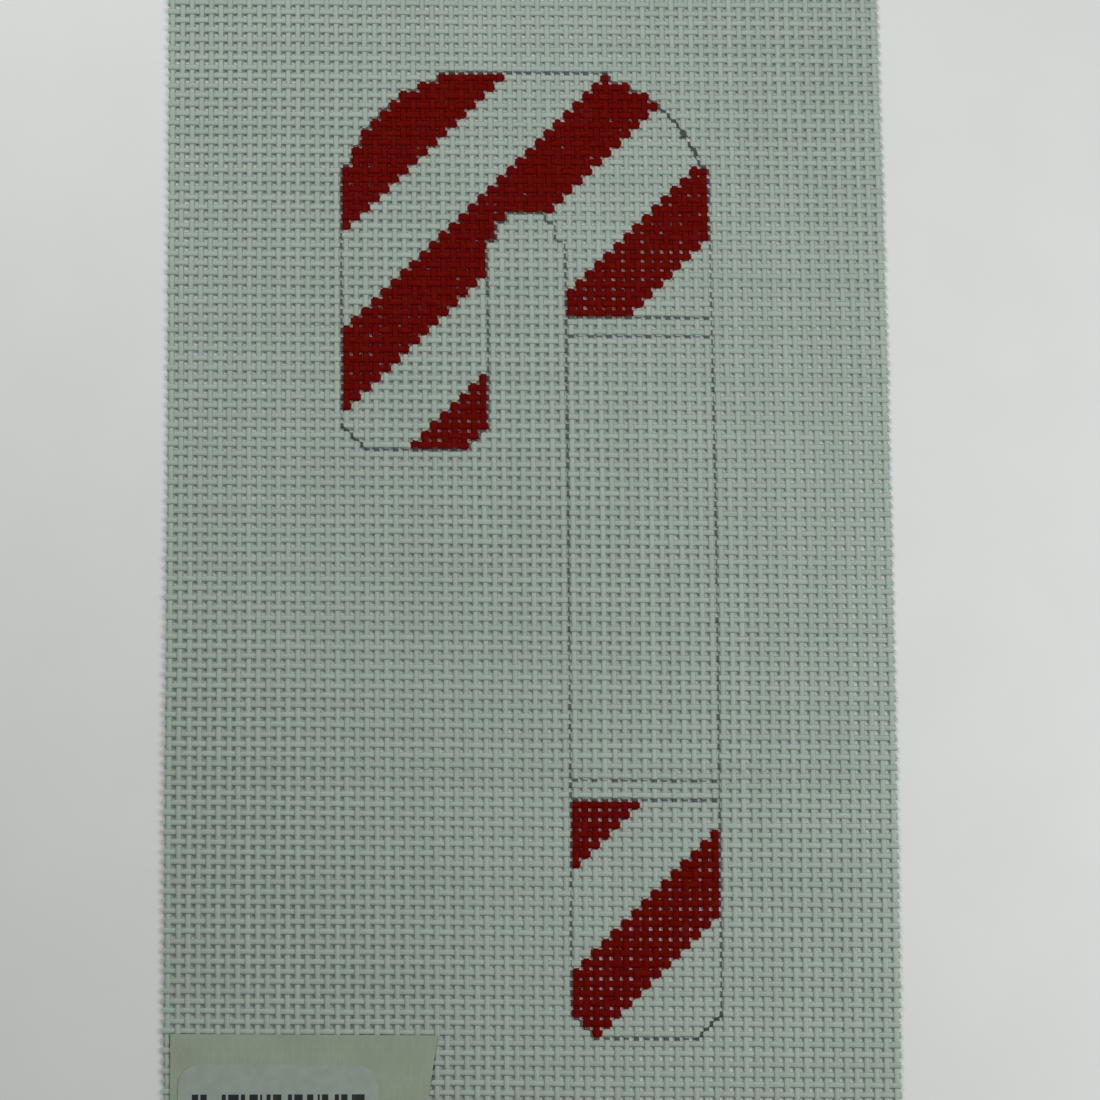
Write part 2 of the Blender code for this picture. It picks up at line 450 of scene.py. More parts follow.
@dataclass(frozen=True)
class ThreadFinish:
    """Sized cotton thread, with the red paint and the pen's ink that lie on it."""

    cotton: Color = (0.455, 0.547, 0.473)
    cotton_shade: Color = (0.405, 0.489, 0.421)
    red: Color = (0.140, 0.0022, 0.0008)
    red_thin: Color = (0.168, 0.0055, 0.0028)
    ink: Color = (0.052, 0.066, 0.058)
    ink_share: float = 0.85
    stroke_share: float = 0.92             # of the ink, in the pen's free strokes
    stroke_edge: tuple[float, float] = (0.15, 0.27)
    stroke_steps: float = 0.75             # how far a free stroke steps from thread to thread
    corner_reach: float = 0.3              # stitches that it runs past a cut corner
    least_slope: float = 0.5               # below it, such a stroke widens
    raggedness: float = 0.5                # of the edges of paint and ink
    fibre_scale: float = 5200.0            # patches a metre
    patch_scale: float = 90.0
    brush_scale: float = 900.0
    gloss: float = 0.03
    twist_turns: float = 3.0
    twist_depth: float = 0.02 * MILLIMETRE
    fibre_depth: float = 0.03 * MILLIMETRE

    def from_strokes(self, nodes: NodeTable, chart: CaneChart) -> Value:
        """Measures how far each place is from the pen's free strokes.

        Args:
            nodes: The table to add to.
            chart: The design.

        Returns:
            The distance in stitches.
        """
        stepped, slopes = [], []
        for place in nodes.axes(nodes.give("Vector", "Attribute", attribute_name=CHART_PLACE))[:2]:
            turn = place * math.tau
            stepped.append(place + nodes.math("SINE", turn) * (self.stroke_steps / math.tau))
            slopes.append(nodes.math("COSINE", turn) * self.stroke_steps + 1.0)
        x, y = stepped
        slope = nodes.length(*slopes) * math.sqrt(0.5)

        half = chart.width / 2
        reach = abs(x - half) - (half - chart.crook_radius)
        drop = chart.crook_radius - y
        crook = abs(nodes.length(reach, drop) - (chart.crook_radius - chart.stroke_inset))
        crook = nodes.where(crook, reach > chart.stroke_reach, drop > chart.stroke_reach)

        on_stem = x > half
        above_end = on_stem * (chart.height - chart.leg_end) + chart.leg_end - y
        middle = on_stem * (chart.width - chart.limb) + chart.limb / 2
        from_side = chart.limb / 2 - abs(x - middle)
        corner = abs(above_end + from_side - chart.chamfer) * math.sqrt(0.5)
        corner = nodes.where(corner, abs(above_end - from_side) < chart.chamfer + self.corner_reach)
        nearest = nodes.math("MINIMUM", crook, corner)
        return nodes.math("DIVIDE", nearest, nodes.math("MAXIMUM", slope, self.least_slope))

    def material(self, chart: CaneChart) -> Material:
        """Builds the material, which reads the thread's own values.

        Args:
            chart: The design that is painted on the threads.

        Returns:
            The finished material.
        """
        nodes = NodeTable("sized_cotton_thread")
        place = nodes.give("Object", "TexCoord")
        fibre = nodes.noise(place, self.fibre_scale, 3.0)
        patch = nodes.noise(place, self.patch_scale)
        brush = nodes.noise(place, self.brush_scale)
        ragged = (brush - 0.5) * self.raggedness
        upward = nodes.attribute(Dress.UPWARD.value)

        shade = nodes.attribute(Dress.LOT.value) * 0.45 + patch * 0.55
        cotton = nodes.mix(nodes.ramp(shade, 0.15, 0.85), self.cotton_shade, self.cotton)
        cotton = nodes.mix(nodes.ramp(fibre, 0.25, 0.55, (0.22, 0.0)), cotton, self.cotton_shade)

        painted = nodes.ramp(nodes.attribute(Dress.PAINT.value) + ragged, 0.42, 0.54)
        painted = painted * nodes.ramp(upward + ragged * 1.6, -1.15, -0.75)
        thin = nodes.ramp(brush + fibre * 0.4, 0.62, 0.95)
        color = nodes.mix(painted, cotton, nodes.mix(thin, self.red, self.red_thin))

        pen = nodes.attribute(Dress.PEN.value) + ragged * 0.35
        pen = nodes.ramp(pen, 0.40, 0.62, (0.0, self.ink_share))
        stroke = self.from_strokes(nodes, chart) + ragged * 0.6
        stroke = nodes.ramp(stroke, *self.stroke_edge, (self.stroke_share, 0.0))
        inked = nodes.math("MAXIMUM", pen, stroke * (1 - painted))
        color = nodes.mix(inked * nodes.ramp(upward, -0.7, -0.2), color, self.ink)

        along, around, _ = nodes.axes(nodes.give("UV", "UVMap", uv_map=THREAD_MAP))
        ply = nodes.math("SINE", (along * self.twist_turns + around) * (2 * math.tau))
        normal = nodes.bump(ply * (1 - painted * 0.6), 0.45, self.twist_depth)
        normal = nodes.bump(fibre, 0.5, self.fibre_depth, Normal=normal)
        rough = 0.82 - painted * 0.26 + fibre * 0.12
        return nodes.finish(color, rough, normal, Specular_IOR_Level=self.gloss)


@dataclass(frozen=True)
class PaintFinish:
    """The paint where it bridges a hole of the weave."""

    red: Color = (0.140, 0.0075, 0.0045)
    red_thin: Color = (0.172, 0.0180, 0.0120)
    brush_scale: float = 1300.0            # patches a metre
    grain_scale: float = 2600.0
    gloss: float = 0.03
    depth: float = 0.03 * MILLIMETRE

    def material(self) -> Material:
        """Builds the material.

        Returns:
            The finished material.
        """
        nodes = NodeTable("dried_red_paint")
        place = nodes.give("Object", "TexCoord")
        brush = nodes.noise(place, self.brush_scale, 3.0)
        color = nodes.mix(nodes.ramp(brush, 0.45, 0.8), self.red, self.red_thin)
        normal = nodes.bump(nodes.noise(place, self.grain_scale), 0.4, self.depth)
        rough = nodes.ramp(brush, 0.2, 0.8, (0.5, 0.66))
        return nodes.finish(color, rough, normal, Specular_IOR_Level=self.gloss)


@dataclass(frozen=True)
class TapeFinish:
    """Creped paper tape. The weave shows through it only as painted shade over its holes."""

    tan: Color = (0.352, 0.424, 0.319)
    # darker tan, used for the paper's random tone and for the painted shade over the holes
    darker_tan_and_shade: Color = (0.315, 0.380, 0.283)
    stretch: tuple[float, float, float] = (1.0, 0.18, 1.0)
    crepe_scale: float = 2600.0            # patches a metre
    tone_scale: float = 160.0
    painted_hole_shade: float = 0.5                # share of painted shade over the holes of the weave
    gloss: float = 0.4
    depth: float = 0.05 * MILLIMETRE

    def material(self) -> Material:
        """Builds the material.

        Returns:
            The finished material.
        """
        nodes = NodeTable("creped_paper_tape")
        place = nodes.give("Object", "TexCoord")
        stretched = nodes.give(0, "Mapping", {"Vector": place, "Scale": self.stretch})
        crepe = nodes.noise(stretched, self.crepe_scale, 3.0)
        tone = nodes.noise(place, self.tone_scale) * 0.6 + crepe * 0.4
        color = nodes.mix(nodes.ramp(tone, 0.35, 0.65), self.darker_tan_and_shade, self.tan)
        # painted shade: the tape darkens over the holes of the weave beneath it
        color = nodes.mix(nodes.attribute(OVER_HOLE) * self.painted_hole_shade, color, self.darker_tan_and_shade)
        normal = nodes.bump(crepe, 0.5, self.depth)
        rough = nodes.ramp(crepe, 0.3, 0.7, (0.5, 0.66))
        return nodes.finish(color, rough, normal, Specular_IOR_Level=self.gloss)


@dataclass(frozen=True)
class StickerFinish:
    """Coated paper with a printed block of bars, made by a rule and standing for nothing."""

    left: float
    right: float
    bottom: float
    top: float
    paper: Color = (0.356, 0.436, 0.366)
    paper_shade: Color = (0.330, 0.407, 0.341)
    ink: Color = (0.012, 0.014, 0.014)
    ink_worn: Color = (0.036, 0.042, 0.042)
    module: float = 0.30 * MILLIMETRE
    first_module: int = 300
    inked_share: float = 0.55
    fleck_scale: float = 700.0             # patches a metre
    depth: float = 0.02 * MILLIMETRE

    def material(self) -> Material:
        """Builds the material, whose bars are runs of inked modules.

        Returns:
            The finished material.
        """
        nodes = NodeTable("coated_label_paper")
        place = nodes.give("Object", "TexCoord")
        x, y, _ = nodes.axes(place)
        fleck = nodes.noise(place, self.fleck_scale, 4.0)
        module = nodes.math("FLOOR", nodes.math("DIVIDE", x - self.left, self.module))
        draw = nodes.give("Value", "TexWhiteNoise", {"W": module + self.first_module},
                          noise_dimensions="1D")
        inked = draw < self.inked_share
        for value, low, high in ((x, self.left, self.right), (y, self.bottom, self.top)):
            inked = inked * (value > low) * (value < high)
        paper = nodes.mix(nodes.ramp(fleck, 0.35, 0.65), self.paper_shade, self.paper)
        ink = nodes.mix(nodes.ramp(fleck, 0.5, 0.8), self.ink, self.ink_worn)
        rough = nodes.ramp(fleck, 0.3, 0.7, (0.38, 0.5))
        normal = nodes.bump(fleck, 0.25, self.depth)
        return nodes.finish(nodes.mix(inked, paper, ink), rough, normal)


def smooth_mesh(name: str, vertices: list, faces: list, material: Material) -> Mesh:
    """Makes a smooth mesh in one material.

    Args:
        name: The mesh's name.
        vertices: Its points.
        faces: The point numbers of each face.
        material: Its material.

    Returns:
        The mesh.
    """
    mesh = bpy.data.meshes.new(name)
    mesh.from_pydata(vertices, [], faces)
    mesh.polygons.foreach_set("use_smooth", [True] * len(mesh.polygons))
    mesh.materials.append(material)
    return mesh


def lay_values(mesh: Mesh, values: dict[Dress, Array]) -> None:
    """Lays the values of a thread's dress on a mesh.

    Args:
        mesh: The mesh.
        values: The numbers of all vertices, for each value.
    """
    for dress in Dress:
        layer = mesh.attributes.new(dress.value, "FLOAT", "POINT")
        layer.data.foreach_set("value", values[dress])


def new_piece(mesh: Mesh, slot: Slot, *nodes: str) -> Object:
    """Puts a mesh in the scene as a piece of the object.

    Args:
        mesh: The mesh, already in place.
        slot: The record's slot it is finished in.
        nodes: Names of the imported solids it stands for.

    Returns:
        The piece, riding on the body.
    """
    piece = bpy.data.objects.new(mesh.name, mesh)
    bpy.context.scene.collection.objects.link(piece)
    return settle(piece, slot, *nodes)


def settle(piece: Object, slot: Slot, *nodes: str) -> Object:
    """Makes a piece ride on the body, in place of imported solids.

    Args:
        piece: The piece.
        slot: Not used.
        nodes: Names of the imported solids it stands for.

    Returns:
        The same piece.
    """
    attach(piece, BODY)
    if nodes:
        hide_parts(*nodes)
    mesh = piece.data
    LOG.info("%s: %d vertices, %d faces", piece.name, len(mesh.vertices), len(mesh.polygons))
    return piece


@dataclass
class ThreadSet:
    """Rings of all threads of one direction in one band, ready to be skinned."""

    run: Run
    centres: Array                         # threads, rings, 3
    widths: Array                          # threads, rings
    heights: Array
    paint: Array
    pen: Array
    lot: Array                             # threads


@dataclass
class WovenCanvas:
    """The sheet as threads in a plain weave, in bands across, each with whole wefts."""

    sheet: Sheet
    weft_share: float = 0.62               # width of a thread, in pitches
    warp_share: float = 0.59
    thread_height: float = 0.29 * MILLIMETRE
    narrow: float = 0.93                   # width between crossings, as a share
    deepen: float = 1.03                   # and height there
    crown_share: float = 0.30              # half of the flat crown, as a share of the width
    wander: float = 0.026                  # sideways drift of a thread, in pitches
    wander_reach: int = 6                  # crossings over which it changes
    swelling: float = 0.035                # how much its width varies, as a share
    swelling_reach: int = 2
    paint_spread: float = 0.21             # how much paint widens a thread
    paint_build: float = 0.05              # and how much it thickens it
    weft_pen: tuple[float, float] = (0.57, 0.78)
    warp_pen: tuple[float, float] = (0.73, 0.92)
    faint: float = 0.84                    # the inner pen lines, against the outer ones
    pen_catch: float = 0.10                # more ink where a warp dips under, less where it climbs
    overhang: float = 0.44                 # cut end past the last crossing, in pitches
    overhang_play: float = 0.05
    end_rise: float = 0.35                 # height of a cut end, as a share of its crossing's
    end_flare: float = 1.05
    cap_slide: float = 0.8                 # past the tile's edge, in heights above the table
    bands: int = 3
    sides: int = 6
    seed: int = 18

    def __post_init__(self) -> None:
        """Draws the places of all crossings and marks the painted and inked ones."""
        sheet, chart = self.sheet, self.sheet.chart
        rows, columns = sheet.rows, sheet.columns
        rng = np.random.default_rng(self.seed)
        self.x, self.y = np.meshgrid(np.arange(columns) + 0.5 - sheet.margin,
                                     np.arange(rows) + 0.5 - sheet.margin)
        warp_drift = smooth_noise(rng, rows, columns, self.wander_reach)
        weft_drift = smooth_noise(rng, columns, rows, self.wander_reach).T
        self.cross_x, self.cross_y = sheet.place(self.x + self.wander * warp_drift,
                                                 self.y + self.wander * weft_drift)
        weft_swell = smooth_noise(rng, columns, rows, self.swelling_reach).T
        warp_swell = smooth_noise(rng, rows, columns, self.swelling_reach)
        self.swell = {Run.WEFT: 1 + self.swelling * weft_swell,
                      Run.WARP: 1 + self.swelling * warp_swell}
        self.tone = {Run.WEFT: rng.random(rows), Run.WARP: rng.random(columns)}
        self.end_jitter = rng.uniform(-1, 1, (2, 2, max(rows, columns)))
        self.red = chart.is_red(self.x, self.y).astype(float)
        self.pen = self.pen_marks(rng)

    def thread_width(self, run: Run) -> float:
        """Gives the full width of one direction's threads in metres."""
        share = self.warp_share if run is Run.WARP else self.weft_share
        return share * self.sheet.pitch

    def pen_marks(self, rng: np.random.Generator) -> dict[Run, Array]:
        """Finds the thread stretches that the pen's line crosses, and how dark each is.

        Args:
            rng: The seeded source of the draw.

        Returns:
            For wefts, marks between columns; for warps, marks between rows.
        """
        chart = self.sheet.chart
        cane = chart.in_cane(self.x, self.y)
        weft = (cane[:, 1:] != cane[:, :-1]).astype(float)
        warp = (cane[1:] != cane[:-1]).astype(float)
        on_stem = (self.x > chart.width - chart.limb) & (self.x < chart.width)
        for lines, firmness in ((chart.band_lines, 1.0), (chart.faint_lines, self.faint)):
            for line in lines:
                row = line + self.sheet.margin - 1
                warp[row] = np.maximum(warp[row], firmness * on_stem[row])
        weft[chart.has_stroke(self.x[:, 1:] - 0.5, self.y[:, 1:])] = 0
        warp[chart.has_stroke(self.x[1:], self.y[1:] - 0.5)] = 0
        slope = 1 + self.pen_catch * self.lifts()[1:]
        return {Run.WEFT: weft * rng.uniform(*self.weft_pen, weft.shape),
                Run.WARP: warp * (rng.uniform(*self.warp_pen, warp.shape) * slope)}

    def lifts(self) -> Array:
        """Tells how high the weft runs at each crossing, from -1, under, to 1, over."""
        rows, columns = np.indices((self.sheet.rows, self.sheet.columns))
        return np.where((rows + columns) % 2, 1.0, -1.0)

    def thread_set(self, run: Run, first: int, last: int) -> ThreadSet:
        """Lays a ring at each crossing of a band, one between each two, and one at each end.

        Args:
            run: The threads' direction.
            first: The band's first row.
            last: The row after its last.

        Returns:
            The rings, in order along +X for wefts and +Y for warps.
        """
        sheet, rows = self.sheet, slice(first, last)
        x, y, lift = self.cross_x[rows], self.cross_y[rows], self.lifts()[rows]
        red, swell = self.red[rows], self.swell[run][rows]
        if run is Run.WEFT:
            pen, lot = self.pen[run][rows], self.tone[run][rows]
            jitter = self.end_jitter[run, :, rows]
            step, joined = np.array([1.0, sheet.pull]), (False, False)
        else:
            x, y, lift, red, swell = (a.T[:, ::-1] for a in (x, y, -lift, red, swell))
            pen, lot = self.pen[run][first:last - 1].T[:, ::-1], self.tone[run]
            jitter = self.end_jitter[run, :, :sheet.columns]
            step, joined = np.array([sheet.pull, 1.0]), (last < sheet.rows, first > 0)

        threads, count = x.shape
        centres = np.zeros((threads, 2 * count + 1, 3))
        widths, heights, paint, ink = (np.zeros((threads, 2 * count + 1)) for _ in range(4))
        centres[:, 1::2, 0], centres[:, 1::2, 1] = x, y
        centres[:, 1::2, 2] = 0.5 * (sheet.thickness - self.thread_height) * lift
        centres[:, 2:-1:2] = (centres[:, 1:-2:2] + centres[:, 3::2]) / 2
        widths[:, 1::2] = swell
        widths[:, 2:-1:2] = (swell[:, 1:] + swell[:, :-1]) / 2 * self.narrow
        paint[:, 1::2] = red
        paint[:, 2:-1:2] = (red[:, 1:] + red[:, :-1]) / 2
        ink[:, 2:-1:2] = pen
        for side, (end, near, outwards) in enumerate(((0, 1, -1), (-1, -2, 1))):
            reach = np.full(threads, 0.5)
            if not joined[side]:
                reach = self.overhang + self.overhang_play * jitter[side]
            offset = outwards * reach[:, None] * sheet.pitch * step
            centres[:, end, :2] = centres[:, near, :2] + offset
            centres[:, end, 2] = 0.0 if joined[side] else self.end_rise * centres[:, near, 2]
            widths[:, end] = widths[:, near] * (self.narrow if joined[side] else self.end_flare)
            paint[:, end] = paint[:, near]

        heights[:] = self.thread_height * (1 + self.paint_build * paint)
        heights[:, 2:-1:2] *= self.deepen
        widths *= self.thread_width(run) * (1 + self.paint_spread * paint)
        centres[..., 2] += sheet.thickness / 2 + sheet.rise(centres[..., 0], centres[..., 1])
        return ThreadSet(run, centres, widths, heights, paint, ink, lot)

    def skin(self, threads: ThreadSet) -> tuple[Array, dict, list, Array, Array]:
        """Skins the rings of a thread set with closed six-sided tubes.

        Args:
            threads: The rings.

        Returns:
            Vertices, values for each vertex, faces, the bake tile of each face, and the
            thread map of each corner.
        """
        count, rings = threads.widths.shape
        angle = math.tau * np.arange(self.sides) / self.sides
        flat = np.where(np.abs(np.sin(angle)) > 0.5, np.sign(np.sin(angle)), 0.0)
        across = np.sign(np.cos(angle)) * np.where(flat == 0, 0.5, self.crown_share)
        vertices = np.repeat(threads.centres[:, :, None], self.sides, axis=2)
        axis, turn = (1, 1) if threads.run is Run.WEFT else (0, -1)
        vertices[..., axis] += turn * threads.widths[..., None] * across
        vertices[..., 2] += threads.heights[..., None] * flat / 2
        shape = vertices.shape[:3]
        values = {Dress.PAINT: threads.paint[..., None], Dress.PEN: threads.pen[..., None],
                  Dress.UPWARD: flat, Dress.LOT: threads.lot[:, None, None]}
        values = {dress: np.broadcast_to(value, shape).ravel() for dress, value in values.items()}
        number = np.arange(count * rings * self.sides).reshape(shape)
        turned = np.roll(number, -1, axis=2)
        quads = np.stack([number[:, :-1], turned[:, :-1], turned[:, 1:], number[:, 1:]], axis=-1)
        facing_up = np.arange(self.sides) < self.sides // 2
        tiles = 2 * int(threads.run) + np.where(facing_up, 0, 1)
        tiles = np.broadcast_to(tiles, quads.shape[:3]).reshape(-1)

        along = (np.arange(rings - 1)[:, None, None] + np.array([0, 0, 1, 1])) / 2
        around = (np.arange(self.sides)[:, None] + np.array([0, 1, 1, 0])) / self.sides
        corner = np.stack(np.broadcast_arrays(along, around), axis=-1)
        thread_map = np.broadcast_to(corner, (*quads.shape, 2)).reshape(-1, 2)

        caps = np.concatenate([number[:, 0, ::-1], number[:, -1]])
        faces = quads.reshape(-1, 4).tolist() + caps.tolist()
        tiles = np.concatenate([tiles, np.full(len(caps), 2 * int(threads.run))])
        thread_map = np.concatenate([thread_map, np.zeros((caps.size, 2))])
        return vertices.reshape(-1, 3), values, faces, tiles, thread_map

    def build_band(self, index: int, material: Material) -> Object:
        """Builds one band of the sheet as one mesh.

        Args:
            index: The band's number from the top.
            material: The threads' material.

        Returns:
            The band as a piece.
        """
        edges = np.linspace(0, self.sheet.rows, self.bands + 1).round().astype(int)
        first, last = int(edges[index]), int(edges[index + 1])
        wefts, warps = (self.skin(self.thread_set(run, first, last)) for run in Run)
        vertices, tiles, thread_map = (np.concatenate([wefts[i], warps[i]]) for i in (0, 3, 4))
        faces = wefts[2] + [[v + len(wefts[0]) for v in face] for face in warps[2]]
        mesh = smooth_mesh(f"canvas_band_{index + 1}", vertices.tolist(), faces, material)
        lay_values(mesh, {dress: np.concatenate([wefts[1][dress], warps[1][dress]])
                          for dress in Dress})
        places = np.zeros((len(vertices), 3))
        places[:, 0], places[:, 1] = self.sheet.stitches(vertices[:, 0], vertices[:, 1])
        layer = mesh.attributes.new(CHART_PLACE, "FLOAT_VECTOR", "POINT")
        layer.data.foreach_set("vector", places.ravel())
        mesh.uv_layers.new(name=THREAD_MAP).data.foreach_set("uv", thread_map.ravel())
        self.lay_bake_map(mesh, tiles)
        self.sharpen_caps(mesh)
        replaced = ["canvas"] + sorted(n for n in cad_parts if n.startswith("painted_stripe"))
        return new_piece(mesh, Slot.THREAD, *replaced)

    def sharpen_caps(self, mesh: Mesh) -> None:
        """Keeps the rims of cut ends sharp, so that the sides stay smooth up to them.

        Args:
            mesh: The band's mesh.
        """
        body = bmesh.new()
        body.from_mesh(mesh)
        for face in body.faces:
            if len(face.verts) == self.sides:
                face.smooth = False
                for edge in face.edges:
                    edge.smooth = False
        body.to_mesh(mesh)
        body.free()

    def lay_bake_map(self, mesh: Mesh, tiles: Array) -> None:
        """Lays a flat map with one tile each for the tops and undersides of wefts and warps.

        Args:
            mesh: The band's mesh.
            tiles: The tile of each face, from 0 to 3.
        """
        corners = np.empty(len(mesh.loops), dtype=np.int32)
        mesh.loops.foreach_get("vertex_index", corners)
        sizes = np.empty(len(mesh.polygons), dtype=np.int32)
        mesh.polygons.foreach_get("loop_total", sizes)
        points = np.empty(len(mesh.vertices) * 3)
        mesh.vertices.foreach_get("co", points)
        points = points.reshape(-1, 3)[corners]

        low, high = points.min(axis=0), points.max(axis=0)
        padding = self.sheet.pitch / 2
        span = high[:2] - low[:2] + 2 * padding
        share = (points[:, :2] - low[:2] + padding) / span
        tile = np.repeat(tiles, sizes)
        is_cap = np.repeat(sizes == self.sides, sizes)
        middle = (low[:2] + high[:2]) / 2
        run_axis = np.where(tile // 2 == Run.WARP, 1, 0)
        outwards = np.sign(np.take_along_axis(points[:, :2] - middle, run_axis[:, None], 1)[:, 0])
        slide = is_cap * outwards * (points[:, 2] - low[2]) * self.cap_slide
        share[np.arange(len(share)), run_axis] += slide / span[run_axis]
        origin = np.stack([tile % 2, tile // 2], axis=1) / 2
        layer = mesh.uv_layers.new(name=BAKE_MAP)
        layer.data.foreach_set("uv", (origin + share / 2).ravel())


@dataclass
class PaintBridges:
    """Paint that dried across the holes of the weave, most of it in the crook."""

    canvas: WovenCanvas
    share_at_crook: float = 0.94
    share_at_foot: float = 0.06
    turn: float = 60                       # stitches, across and twice down, to half way
    turn_width: float = 9
    web_share: float = 0.38                # of the holes, bridged in one corner only
    thickness: float = 0.07 * MILLIMETRE
    height: float = 0.52                   # of the sheet's thickness
    height_play: float = 0.1
    corners: int = 8
    tuck: float = 1.25                     # reach under the threads, in half widths of the hole
    web_turn: tuple[float, float] = (-0.6, 0.5)      # cosine past which a web fills its side
    web_inner: tuple[float, float] = (0.15, 0.45)    # and how far it comes in elsewhere
    dish: float = 0.6                      # of a film's middle, in thicknesses
    settling: float = 0.6                  # of that middle, towards the mean of its outline
    seed: int = 38

    def outline(self, rng: np.random.Generator, full: bool) -> Array:
        """Draws the outline of one film, in shares of the hole's half width.

        Args:
            rng: The seeded source of the draw.
            full: Whether it closes the whole hole.

        Returns:
            Points round the film, anticlockwise.
        """
        angle = math.tau * (np.arange(self.corners) + 0.5) / self.corners
        corner = 1 / np.maximum(np.abs(np.cos(angle)), np.abs(np.sin(angle)))
        ring = np.stack([np.cos(angle), np.sin(angle)], axis=1) * corner[:, None]
        if full:
            return ring * self.tuck
        turn = rng.integers(4) * math.pi / 2
        keep = np.cos(angle - turn) > rng.uniform(*self.web_turn)
        inner = ring * rng.uniform(*self.web_inner)
        return np.where(keep[:, None], ring * self.tuck, inner * np.cos(angle - turn)[:, None] ** 2)

    def build(self, material: Material) -> Object:
        """Builds all films as one mesh.

        Args:
            material: The paint's material.

        Returns:
            The films as a piece.
        """
        canvas, sheet = self.canvas, self.canvas.sheet
        rng = np.random.default_rng(self.seed)
        red = canvas.red
        inner = red[1:, 1:] * red[:-1, 1:] * red[1:, :-1] * red[:-1, :-1] > 0
        widths = np.array([canvas.thread_width(Run.WARP), canvas.thread_width(Run.WEFT)])
        half = (sheet.pitch - widths * (1 + canvas.paint_spread)) / 2
        vertices, faces = [], []
        for row, column in zip(*np.nonzero(inner)):
            away = (column + 1 - sheet.margin) + 2 * (row + 1 - sheet.margin)
            fall = 1 / (1 + math.exp((away - self.turn) / self.turn_width))
            share = self.share_at_foot + (self.share_at_crook - self.share_at_foot) * fall
            draw = rng.random()
            if draw > share + self.web_share:
                continue
            ring = self.outline(rng, full=draw < share)
            x = canvas.cross_x[row:row + 2, column:column + 2].mean()
            y = canvas.cross_y[row:row + 2, column:column + 2].mean()
            height = self.height + rng.uniform(-self.height_play, self.height_play)
            z = float(sheet.rise(x, y)) + sheet.thickness * height
            self.add_film(vertices, faces, (x, y, z), ring * half)
        return new_piece(smooth_mesh("paint_in_holes", vertices, faces, material), Slot.PAINT)

    def add_film(self, vertices: list, faces: list, place: tuple, ring: Array) -> None:
        """Adds one closed film, dished a little at its middle.

        Args:
            vertices: The mesh's vertices so far.
            faces: The mesh's faces so far.
            place: The film's middle.
            ring: Its outline round that middle, in metres.
        """
        x, y, z = place
        start, count = len(vertices), len(ring)
        dish = self.dish * self.thickness
        middle = ring.mean(axis=0) * self.settling
        for level in (z, z - self.thickness):
            vertices.extend((x + dx, y + dy, level) for dx, dy in ring)
            vertices.append((x + middle[0], y + middle[1], level - dish))
        upper, lower = start + count, start + 2 * count + 1
        for index in range(count):
            after = (index + 1) % count
            a, b = start + index, start + after
            c, d = a + count + 1, b + count + 1
            faces.extend([(a, b, upper), (d, c, lower), (b, a, c, d)])


@dataclass
class TapeLabel:
    """The strip of paper tape, pressed over the crowns of the weave."""

    canvas: WovenCanvas
    samples: int = 3                       # vertices to a stitch
    thickness: float = 0.13 * MILLIMETRE
    sag: float = 0.05 * MILLIMETRE
    clearance: float = 0.03 * MILLIMETRE
    slant: float = 2.7
    lap: float = 0.2                       # stitches past the solid, onto the next threads
    sharp: float = math.radians(50)

    def underside(self, x: Array, y: Array) -> Array:
        """Gives the height at which the tape meets the crowns, in metres."""
        sheet = self.canvas.sheet
        return sheet.thickness + self.clearance + sheet.rise(x, y)

    def build(self, material: Material) -> Object:
        """Builds the strip from a grid that is cut, pressed and given its thickness.

        Args:
            material: The tape's material.

        Returns:
            The tape as a piece.
        """
        pitch = self.canvas.sheet.pitch
        low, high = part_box("tape_label")
        left, top = low.x - self.lap * pitch, high.y + self.lap * pitch
        across, along = high.x - left, top - low.y
        bpy.ops.object.select_all(action="DESELECT")
        bpy.ops.mesh.primitive_grid_add(
            x_subdivisions=round(across / pitch * self.samples),
            y_subdivisions=round(along / pitch * self.samples),
            size=1.0, location=((left + high.x) / 2, (low.y + top) / 2, 0.0))
        tape = bpy.context.object
        tape.name = tape.data.name = "paper_tape"
        tape.scale = (across, along, 1.0)
        bpy.ops.object.transform_apply(location=True, rotation=False, scale=True)

        # how far each point lies over a hole; the tape's material paints shade there by this share
        shade_over_holes = tape.data.attributes.new(OVER_HOLE, "FLOAT", "POINT")
        for vertex in tape.data.vertices:
            x, y, _ = vertex.co
            share_down = (top - y) / along
            cut = self.slant * pitch * share_down * (x - left) / across
            x -= cut
            hole = (math.sin(math.pi * (x / pitch)) * math.sin(math.pi * (y / pitch))) ** 2
            rim = min(x - left, high.x - cut - x, y - low.y, top - y) / pitch
            hole *= min(1.0, max(0.0, 2 * rim))
            shade_over_holes.data[vertex.index].value = hole
            x, y = self.canvas.sheet.pulled(x, y)
            vertex.co = (x, y, float(self.underside(x, y)) - self.sag * hole)

        solid = tape.modifiers.new("paper", "SOLIDIFY")
        solid.thickness = self.thickness
        solid.offset = 1.0
        bpy.ops.object.modifier_apply(modifier=solid.name)
        bpy.ops.object.shade_smooth_by_angle(angle=self.sharp)
        tape.data.materials.append(material)
        return settle(tape, Slot.TAPE, "tape_label")


